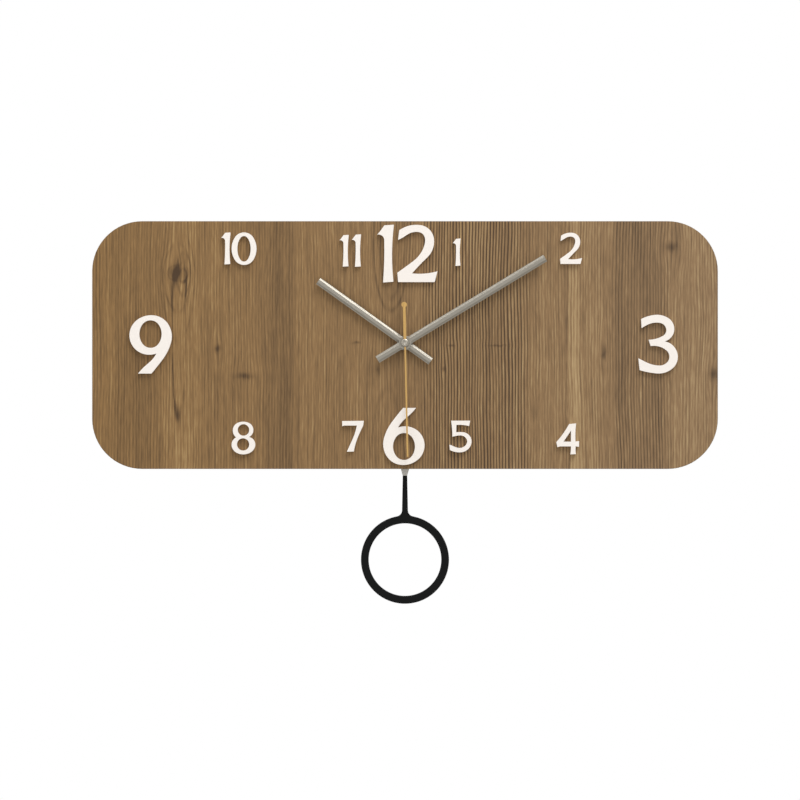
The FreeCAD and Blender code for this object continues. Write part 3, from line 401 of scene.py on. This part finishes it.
def moulded_plastic(name, base, roughness=0.5, grain=0.6, depth=0.02):
    """Injection moulded plastic with a spark-eroded texture, and pressed materials of the same
    look: fine even grains and a dull gloss."""
    material, tree, sockets = new_material(name, roughness=roughness, base=base)
    spot = millimetres(tree)
    clouds = stretched(tree, spot, (9,) * 3)
    # Grains of the mould's texture, drawn a little coarser than their 0.2 mm
    grains = stretched(tree, spot, (grain,) * 3)
    finish(tree, sockets, clouds, scaled(base, 0.9), scaled(base, 1.08), grains, depth)
    return material


def stamped_metal(name, base, roughness=0.32):
    """Stamped or drawn sheet: bright, with rolling lines and a slightly cloudy plating."""
    material, tree, sockets = new_material(name, roughness=roughness, metallic=1.0, base=base)
    spot = millimetres(tree)
    clouds = stretched(tree, spot, (3, 3, 9), 3.0)
    # Rolling lines some 0.1 mm wide, drawn at 0.4 mm so that they show
    lines = stretched(tree, spot, (0.4, 0.4, 6), 1.0)
    finish(tree, sockets, clouds, scaled(base, 0.82), base, lines, 0.01)
    return material


def wound_copper():
    """Enamelled copper wire in close turns round the coil: thin bright lines with painted shade in the
    grooves between them, a lacquered gloss.
    """
    base = linear("#B4642F")
    material, tree, sockets = new_material("copper_wire_wound", roughness=0.28, metallic=1.0, base=base)
    sockets["Coat Weight"].default_value = 0.6
    # Wire of 0.05 mm; its turns are drawn 0.3 mm apart so that they show
    turns_and_groove_shade = add(tree, "TexWave", {"Vector": millimetres(tree), "Scale": WAVE_PERIOD / 0.3,
                                  "Distortion": 0.3},
                wave_type="BANDS", bands_direction="X", wave_profile="SIN").outputs["Fac"]
    # The colour falls to 0.45 of the copper between turns: painted shade in the grooves. The same
    # pattern gives the turns their relief
    finish(tree, sockets, turns_and_groove_shade, scaled(base, 0.45), base, turns_and_groove_shade, 0.05)
    return material


def circuit_laminate():
    """Glass laminate under green solder resist: copper tracks show as slightly raised lines."""
    material, tree, sockets = new_material("circuit_laminate_green", roughness=0.35)
    # Tracks lie about 3.2 mm apart
    cells = add(tree, "VectorMath", {0: millimetres(tree), 1: (1 / 3.2,) * 3},
                operation="MULTIPLY").outputs[0]
    tracks = add(tree, "TexVoronoi", {"Vector": cells, "Scale": 1.0, "Randomness": 0.6},
                 distance="MANHATTAN", feature="F1").outputs["Distance"]
    finish(tree, sockets, tracks, linear("#14432B"), linear("#2E6E45"), tracks, 0.03)
    return material


def printed_film():
    """A cell's printed film: plain glossy dark grey, with a pale band at the positive end."""
    material, tree, sockets = new_material("battery_film_printed", roughness=0.3)
    sockets["Coat Weight"].default_value = 0.4
    spot = millimetres(tree)
    # The print runs over 52 mm, a little more than the cell's length
    print_length, band_start = 52, 0.81
    along = add(tree, "SeparateXYZ", {0: spot}).outputs["X"]
    along = add(tree, "Math", {0: along, 1: 1 / print_length, 2: 0.5},
                operation="MULTIPLY_ADD").outputs[0]
    film = add(tree, "ValToRGB", {"Fac": along},
               stops=((0.0, linear("#2C3138")), (band_start, linear("#A9AEB4"))))
    film.color_ramp.interpolation = "CONSTANT"
    tree.links.new(film.outputs[0], sockets["Base Color"])
    # The film lies in long shallow wrinkles
    wrinkles = stretched(tree, spot, (14, 2, 2), 1.0)
    bump = add(tree, "Bump", {"Height": wrinkles, "Distance": 0.02 * MM, "Strength": 1.0})
    tree.links.new(bump.outputs[0], sockets["Normal"])
    return material


# Meshes

def depth_y(depth):
    """The y of a depth counted in mm rearwards from the front of the movement case."""
    return CASE_FRONT_Y + depth * MM


def dress(node, *materials):
    """Give a CAD node its materials."""
    slots = NODES[node].data.materials
    slots.clear()
    for material in materials:
        slots.append(material)


def soften(node, radius, segments=2):
    """Round the sharp edges of a CAD node, with modifiers alone. Faces within half a degree of flat
    are joined first, and edges sharper than 35 degrees are rounded."""
    solid = NODES[node]
    weld = solid.modifiers.new("join_faces", "WELD")
    weld.merge_threshold = 0.002 * MM
    flat = solid.modifiers.new("flat_faces", "DECIMATE")
    flat.decimate_type = "DISSOLVE"
    flat.angle_limit = math.radians(0.5)
    bevel = solid.modifiers.new("edges", "BEVEL")
    bevel.width = radius
    bevel.segments = segments
    bevel.limit_method = "ANGLE"
    bevel.angle_limit = math.radians(35)
    bevel.use_clamp_overlap = True
    bevel.harden_normals = True


def keep(name, mesh, body, slot, *materials):
    """Make a piece of the clock from a mesh: it rides on its body and takes the given materials. The
    slot is not used.
    """
    mesh.normal_update()
    data = bpy.data.meshes.new(name)
    mesh.to_mesh(data)
    mesh.free()
    for face in data.polygons:
        face.use_smooth = True
    data.set_sharp_from_angle(angle=math.radians(30))
    piece = bpy.data.objects.new(name, data)
    bpy.context.scene.collection.objects.link(piece)
    for material in materials:
        data.materials.append(material)
    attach(piece, body)
    return piece


def turned(profile, sides, centre=(0.0, 0.0)):
    """A mesh turned about an axis along y; the profile is (radius, y) in metres, and a radius of
    zero closes it."""
    mesh = bmesh.new()
    rows = []
    for radius, y in profile:
        count = 1 if radius == 0 else sides
        rows.append([
            mesh.verts.new((centre[0] + radius * math.cos(2 * math.pi * k / sides), y,
                            centre[1] + radius * math.sin(2 * math.pi * k / sides)))
            for k in range(count)
        ])
    for low, high in zip(rows, rows[1:]):
        for k in range(sides):
            corners = (low[k % len(low)], low[(k + 1) % len(low)],
                       high[(k + 1) % len(high)], high[k % len(high)])
            corners = list(dict.fromkeys(corners))
            if len(corners) > 2:
                mesh.faces.new(corners)
    bmesh.ops.recalc_face_normals(mesh, faces=mesh.faces)
    return mesh


def block(mesh, low, high, rounding=0.0, turn=None):
    """Add a block between two corners, its edges rounded, turned by a matrix if one is given."""
    made = bmesh.ops.create_cube(mesh, size=1.0)["verts"]
    low, high = Vector(low), Vector(high)
    for vert in made:
        vert.co = Vector(low[k] + (vert.co[k] + 0.5) * (high[k] - low[k]) for k in range(3))
    if rounding:
        edges = list({edge for vert in made for edge in vert.link_edges})
        made = bmesh.ops.bevel(mesh, geom=edges, offset=rounding, segments=2, profile=0.5,
                               affect="EDGES", clamp_overlap=True)["verts"]
    if turn:
        bmesh.ops.transform(mesh, matrix=turn, verts=list(set(made)))


# Pieces

def make_board(sizes, colours):
    """The board: pine on its front, a stained edge and a raw back."""
    soften("board", sizes.board_rounding)
    dress("board", stained_pine(colours),
          sawn_fibreboard("fibreboard_edge_stained", "#4A3522", "#6B4F35"),
          sawn_fibreboard("fibreboard_raw", "#9C7E5B", "#B99A74"))
    front, edge, back = 0, 1, 2
    for face in NODES["board"].data.polygons:
        if face.normal.y < -0.9:
            face.material_index = front
        elif face.normal.y > 0.9:
            face.material_index = back
        else:
            face.material_index = edge


def make_numerals(sizes, colours):
    soften("hour_numerals", sizes.numeral_rounding)
    dress("hour_numerals", cast_acrylic(colours))


def make_hands(sizes, colours):
    # The brush lines run along each hand, at its bearing in degrees clockwise from twelve
    # This colour is darker than bare aluminium: painted shade, which makes the hands' lower folds look
    # dark
    aluminium = tuple(colours.aluminium)
    for node, bearing in (("hour_hand", 305.6), ("minute_hand", 58.8)):
        soften(node, sizes.hand_rounding, 1)
        dress(node, brushed_metal("aluminium_brushed_" + node, aluminium, math.radians(-bearing)))
    soften("second_hand", 0.08 * MM, 1)
    dress("second_hand", brushed_metal("brass_gilt_needle", tuple(colours.gilt), roughness=0.32,
                                       scratch=0.2))
    # The cap is turned with a dished middle, two grooves and a rounded rim: radius, and how far
    # behind the cap's front, in mm
    outline = ((0, 0.30), (0.9, 0.22), (1.3, 0.04), (1.5, 0), (1.7, 0.04), (1.85, 0.26), (2.05, 0.26),
               (2.2, 0.06), (2.4, 0.04), (2.6, 0.12), (2.9, 0.28), (3.1, 0.50), (3.2, 0.80),
               (3.2, 1.08), (0, 1.08))
    front = depth_y(-16.1)
    profile = [(radius * MM, front + behind * MM) for radius, behind in outline]
    # The cap takes the same aluminium 1.4 times lighter, near the bare metal, because the hands' colour
    # carries painted shade
    cap = keep("second_hand_cap_turned", turned(profile, 72, (0.0, SHAFT_Z)), "seconds",
               "hand_aluminium", turned_metal("aluminium_turned_cap", scaled(aluminium, 1.4)))
    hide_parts("second_hand_cap")


def make_fixing(sizes):
    soften("fixing_nut", 0.3 * MM)
    dress("fixing_nut", stamped_metal("brass_nut_nickelled", linear("#A39D92"), 0.3))
    # Rubber sheet is matt, with coarser grains than a moulding
    soften("rubber_pad", 0.15 * MM)
    dress("rubber_pad", moulded_plastic("rubber_sheet_black", linear("#1A1A1A"), 0.75, 0.8, 0.03))
    # The bush's thread, where it stands proud of the nut
    mesh = bmesh.new()
    start, end = depth_y(-7.85), depth_y(-9.1)
    pitch = sizes.thread_pitch
    root, crest = 3.98 * MM, 4.2 * MM
    steps = 36
    rows = []
    for k in range(int((start - end) / pitch * steps) + 1):
        angle = 2 * math.pi * k / steps
        y = start - pitch * k / steps
        section = ((root, y + 0.35 * pitch), (crest, y), (root, y - 0.35 * pitch))
        rows.append([mesh.verts.new((radius * math.cos(angle), at, SHAFT_Z + radius * math.sin(angle)))
                     for radius, at in section])
    for first, second in zip(rows, rows[1:]):
        for j in range(3):
            mesh.faces.new((first[j], first[(j + 1) % 3], second[(j + 1) % 3], second[j]))
    mesh.faces.new(rows[0])
    mesh.faces.new(reversed(rows[-1]))
    bmesh.ops.recalc_face_normals(mesh, faces=mesh.faces)
    keep("bush_thread", mesh, "clock_body", "black_case",
         moulded_plastic("abs_thread_moulded", linear("#202022"), 0.45))


def make_case(sizes, colours):
    case = moulded_plastic("abs_case_moulded", tuple(colours.case))
    for node in ("case_front", "wall_hanger", "rear_cover", "pendulum_cover"):
        soften(node, sizes.moulded_rounding)
        dress(node, case)
    inner = moulded_plastic("abs_inner_moulded", linear("#37373A"), 0.45)
    for node in ("middle_plate", "pendulum_lever", "setting_knob"):
        soften(node, 0.15 * MM, 1)
        dress(node, inner)
    # Grip ribs round the setting knob, whose axis is 17 mm above the hand shaft
    mesh = bmesh.new()
    axis = Matrix.Translation((0, 0, SHAFT_Z + 17 * MM))
    side, front, rear = 0.25 * MM, depth_y(14.75), depth_y(16.1)
    for k in range(sizes.knob_ribs):
        turn = axis @ Matrix.Rotation(2 * math.pi * k / sizes.knob_ribs, 4, "Y")
        block(mesh, (-side, front, 4.6 * MM), (side, rear, 5.0 * MM), 0.1 * MM, turn)
    keep("knob_grip_ribs", mesh, "setting", "inner_plastic", inner)
    # Snap clips on the case's side walls, which hold the two covers: a flat tongue, and a bar
    # across it that stands further out
    mesh = bmesh.new()
    tongue, bar = (0.7 * MM, 8.5, 15.8), (1.2 * MM, 14.0, 15.2)
    half = 3 * MM
    low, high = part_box("case_front")
    for x in (low[0], high[0]):
        for z in (SHAFT_Z + 12 * MM, SHAFT_Z - 52 * MM):
            for proud, near, far in (tongue, bar):
                block(mesh, (x - proud, depth_y(near), z - half),
                      (x + proud, depth_y(far), z + half), 0.2 * MM)
    keep("case_snap_clips", mesh, "clock_body", "black_case", case)
    # Signs on the floor of the battery bay, plus at the right and minus at the left
    mesh = bmesh.new()
    floor, top = depth_y(1.45), depth_y(1.75)
    sign_x, arm, stroke = 20.5 * MM, 2 * MM, 0.4 * MM
    for x, half_wide, half_tall in ((sign_x, arm, stroke), (sign_x, stroke, arm),
                                    (-sign_x, arm, stroke)):
        block(mesh, (x - half_wide, floor, BATTERY_Z - half_tall),
              (x + half_wide, top, BATTERY_Z + half_tall))
    keep("battery_bay_signs", mesh, "clock_body", "black_case", case)


def make_train():
    # Acetal is milky, with a soft sheen and a very fine grain
    gear = moulded_plastic("acetal_gear_moulded", linear("#E9E5D6"), 0.38, 0.5, 0.01)
    for node in ("hour_wheel", "minute_arbor", "centre_wheel", "third_wheel", "seconds_wheel",
                 "fifth_wheel", "rotor", "minute_wheel"):
        dress(node, gear)
    dress("seconds_arbor", stamped_metal("steel_arbor_drawn", linear("#B9B9BC"), 0.22))


def make_motor():
    # Sintered ferrite is a dull dark grey, with fine sharp grains
    dress("rotor_magnet", moulded_plastic("ferrite_sintered", linear("#3A3A3D"), 0.6, 0.4, 0.03))
    dress("lever_magnet", moulded_plastic("ferrite_sintered_block", linear("#3E3E42"), 0.6, 0.4, 0.03))
    dress("stator", stamped_metal("iron_stator_stamped", linear("#9B9BA0"), 0.4))
    dress("coil_bobbin", moulded_plastic("nylon_bobbin_moulded", linear("#B8452F"), 0.42))
    copper = wound_copper()
    laminate = circuit_laminate()
    contact = stamped_metal("spring_steel_nickelled", linear("#C9C8C2"), 0.25)
    for node, material in (("coil_winding", copper), ("drive_coil", copper),
                           ("circuit_board", laminate), ("drive_board", laminate),
                           ("contact_positive", contact), ("contact_negative", contact)):
        dress(node, material)
    dress("quartz_crystal", stamped_metal("steel_can_drawn", linear("#C4C4C8"), 0.2))


def make_battery():
    """A single cell: printed film over a steel can, turned in at both ends, with a raised button."""
    # Radius, and the place along the cell from its middle, in mm
    outline = ((0, -25.25), (3.0, -25.25), (3.1, -25.05), (6.0, -25.05), (6.6, -25.15), (7.1, -24.95),
               (7.25, -24.45), (7.25, 23.35), (7.0, 23.95), (6.5, 24.15), (6.0, 23.95), (5.5, 23.85),
               (2.8, 23.85), (2.7, 24.15), (2.7, 24.95), (2.4, 25.25), (0, 25.25))
    mesh = turned([(radius * MM, along * MM) for radius, along in outline], 64)
    # The turned mesh's axis is y; lay it along x in the bay
    lay = (Matrix.Translation((0, depth_y(8.9), BATTERY_Z))
           @ Matrix.Rotation(math.radians(-90), 4, "Z"))
    bmesh.ops.transform(mesh, matrix=lay, verts=mesh.verts)
    # The film covers the cell as far as this from its middle, and the steel shows beyond
    film_end = 24.04 * MM
    film, steel = 0, 1
    for face in mesh.faces:
        face.material_index = steel if abs(face.calc_center_median().x) > film_end else film
    cell = keep("battery_cell", mesh, "cell", "battery_jacket", printed_film(),
                stamped_metal("steel_cap_nickelled", linear("#C9C8C2"), 0.22))
    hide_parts("battery")


def make_pendulum(sizes, colours):
    soften("pendulum_strip", 0.08 * MM, 1)
    # The strip's steel is drawn darker than bright steel: partly its own tone, partly painted shade
    # from the board's shadow over its top
    dress("pendulum_strip", brushed_metal("steel_strip_brushed", linear("#A9A69F"), roughness=0.28))
    soften("pendulum_ring", sizes.ring_rounding)
    ring = moulded_plastic("abs_ring_moulded", tuple(colours.ring), 0.5, 0.8, 0.015)
    # The ring's black is dull, with little reflection
    ring.node_tree.nodes["Principled BSDF"].inputs["Specular IOR Level"].default_value = 0.1
    dress("pendulum_ring", ring)


def make_stage():
    scene = bpy.context.scene
    scene.view_settings.view_transform = "Standard"

    # The photograph is taken from in front of the board's middle with a long lens
    lens = bpy.data.cameras.new("camera")
    lens.lens = 120
    lens.sensor_width = 36
    lens.dof.use_dof = False
    camera = bpy.data.objects.new("camera", lens)
    # Its 800 pixels across are 639.2 mm at the board's front
    view_width, view_x, view_z = 639.2 * MM, -4 * MM, -87.5 * MM
    board_front = depth_y(-5.8)
    away = view_width * lens.lens / lens.sensor_width
    camera.location = (view_x, board_front - away, view_z)
    camera.rotation_euler = (math.radians(90), 0, 0)
    scene.collection.objects.link(camera)
    scene.camera = camera

    # Square soft lamps: place and width in metres, and power in watts
    lit = Vector((0, -0.02, -0.06))
    for name, place, width, power in (("key_light", (0.88, -1.56, 2.44), 1.60, 67.0),
                                      ("hand_light", (0.62, -2.20, 0.95), 0.5, 4.2),
                                      ("fill_light", (-1.2, -1.6, 0.2), 1.2, 4.5),
                                      ("left_glint", (-0.72, -0.58, 1.20), 0.5, 2.2),
                                      ("back_light", (0.5, 1.6, 0.6), 1.2, 9.0)):
        lamp = bpy.data.lights.new(name, "AREA")
        lamp.size = width
        lamp.energy = power
        holder = bpy.data.objects.new(name, lamp)
        holder.location = place
        holder.rotation_euler = (lit - Vector(place)).to_track_quat("-Z", "Y").to_euler()
        scene.collection.objects.link(holder)

    # White where it is seen, and softer where it lights the clock
    world = bpy.data.worlds.new("studio")
    world.use_nodes = True
    tree = world.node_tree
    tree.nodes.clear()
    white, ambient = (1.0, 1.0, 1.0, 1.0), 0.48
    rays = add(tree, "LightPath").outputs
    seen = rays["Is Camera Ray"]
    for kind in ("Is Glossy Ray", "Is Transmission Ray"):
        seen = add(tree, "Math", {0: seen, 1: rays[kind]}, operation="MAXIMUM").outputs[0]
    lighting = add(tree, "Background", {"Color": white, "Strength": ambient}).outputs[0]
    backdrop = add(tree, "Background", {"Color": white, "Strength": 1.0}).outputs[0]
    mix = add(tree, "MixShader", {0: seen, 1: lighting, 2: backdrop}).outputs[0]
    add(tree, "OutputWorld", {"Surface": mix})
    scene.world = world

    # A pale matt floor below the hanging clock, outside the front view
    mesh = bmesh.new()
    bmesh.ops.create_circle(mesh, cap_ends=True, radius=1.15, segments=96)
    data = bpy.data.meshes.new("floor")
    mesh.to_mesh(data)
    mesh.free()
    floor = bpy.data.objects.new("floor", data)
    floor.location = (0, -0.2, -0.62)
    # Rolled paint: an even tone with faint clouds about 25 mm across
    paint, tree, sockets = new_material("floor_paint_matt", roughness=0.9)
    clouds = stretched(tree, millimetres(tree), (25,) * 3, 3.0)
    clouds = add(tree, "ValToRGB", {"Fac": clouds},
                 stops=((0.25, linear("#DAD8D4")), (0.75, linear("#DDDBD7"))))
    tree.links.new(clouds.outputs[0], sockets["Base Color"])
    data.materials.append(paint)
    scene.collection.objects.link(floor)


# Operators, one for each piece or group of like pieces

class CLOCK_OT_board(bpy.types.Operator):
    """Dress the board in stained pine veneer"""

    bl_idname = "clock.board"
    bl_label = "Board"

    def execute(self, context):
        make_board(context.scene.clock_sizes, context.scene.clock_colours)
        return {"FINISHED"}


class CLOCK_OT_numerals(bpy.types.Operator):
    """Dress the raised numerals in white acrylic"""

    bl_idname = "clock.numerals"
    bl_label = "Numerals"

    def execute(self, context):
        make_numerals(context.scene.clock_sizes, context.scene.clock_colours)
        return {"FINISHED"}


class CLOCK_OT_hands(bpy.types.Operator):
    """Dress the three hands and turn the cap over the shaft"""

    bl_idname = "clock.hands"
    bl_label = "Hands"

    def execute(self, context):
        make_hands(context.scene.clock_sizes, context.scene.clock_colours)
        return {"FINISHED"}


class CLOCK_OT_fixing(bpy.types.Operator):
    """Dress the nut and the rubber pad, and cut the bush's thread"""

    bl_idname = "clock.fixing"
    bl_label = "Nut and pad"

    def execute(self, context):
        make_fixing(context.scene.clock_sizes)
        return {"FINISHED"}


class CLOCK_OT_case(bpy.types.Operator):
    """Dress the movement case, with its clips, ribs and signs"""

    bl_idname = "clock.case"
    bl_label = "Movement case"

    def execute(self, context):
        make_case(context.scene.clock_sizes, context.scene.clock_colours)
        return {"FINISHED"}


class CLOCK_OT_train(bpy.types.Operator):
    """Dress the wheels and arbors of the gear train"""

    bl_idname = "clock.train"
    bl_label = "Gear train"

    def execute(self, context):
        make_train()
        return {"FINISHED"}


class CLOCK_OT_motor(bpy.types.Operator):
    """Dress the motor, the circuit and the contacts"""

    bl_idname = "clock.motor"
    bl_label = "Motor and circuit"

    def execute(self, context):
        make_motor()
        return {"FINISHED"}


class CLOCK_OT_battery(bpy.types.Operator):
    """Make the battery"""

    bl_idname = "clock.battery"
    bl_label = "Battery"

    def execute(self, context):
        make_battery()
        return {"FINISHED"}


class CLOCK_OT_pendulum(bpy.types.Operator):
    """Dress the pendulum's strip and ring"""

    bl_idname = "clock.pendulum"
    bl_label = "Pendulum"

    def execute(self, context):
        make_pendulum(context.scene.clock_sizes, context.scene.clock_colours)
        return {"FINISHED"}


class CLOCK_OT_stage(bpy.types.Operator):
    """Set the camera, the lights, the white surroundings and the floor"""

    bl_idname = "clock.stage"
    bl_label = "Stage"

    def execute(self, context):
        make_stage()
        return {"FINISHED"}


STEPS = (CLOCK_OT_board, CLOCK_OT_numerals, CLOCK_OT_hands, CLOCK_OT_fixing, CLOCK_OT_case,
         CLOCK_OT_train, CLOCK_OT_motor, CLOCK_OT_battery, CLOCK_OT_pendulum, CLOCK_OT_stage)


class CLOCK_PT_clock(bpy.types.Panel):
    """The clock's sizes, colours and pieces"""

    bl_idname = "CLOCK_PT_clock"
    bl_label = "Pendulum wall clock"
    bl_space_type = "VIEW_3D"
    bl_region_type = "UI"
    bl_category = "Clock"

    def draw(self, context):
        for group in (context.scene.clock_sizes, context.scene.clock_colours):
            column = self.layout.column(align=True)
            for field in group.__annotations__:
                column.prop(group, field)
        column = self.layout.column(align=True)
        for step in STEPS:
            column.operator(step.bl_idname)


CLASSES = (ClockSizes, ClockColours) + STEPS + (CLOCK_PT_clock,)


def register():
    for item in CLASSES:
        bpy.utils.register_class(item)
    bpy.types.Scene.clock_sizes = PointerProperty(type=ClockSizes)
    bpy.types.Scene.clock_colours = PointerProperty(type=ClockColours)


def unregister():
    del bpy.types.Scene.clock_colours
    del bpy.types.Scene.clock_sizes
    for item in reversed(CLASSES):
        bpy.utils.unregister_class(item)


def main():
    register()
    bpy.ops.clock.board()
    bpy.ops.clock.numerals()
    bpy.ops.clock.hands()
    bpy.ops.clock.fixing()
    bpy.ops.clock.case()
    bpy.ops.clock.train()
    bpy.ops.clock.motor()
    bpy.ops.clock.battery()
    bpy.ops.clock.pendulum()
    bpy.ops.clock.stage()


if __name__ == "__main__":
    main()
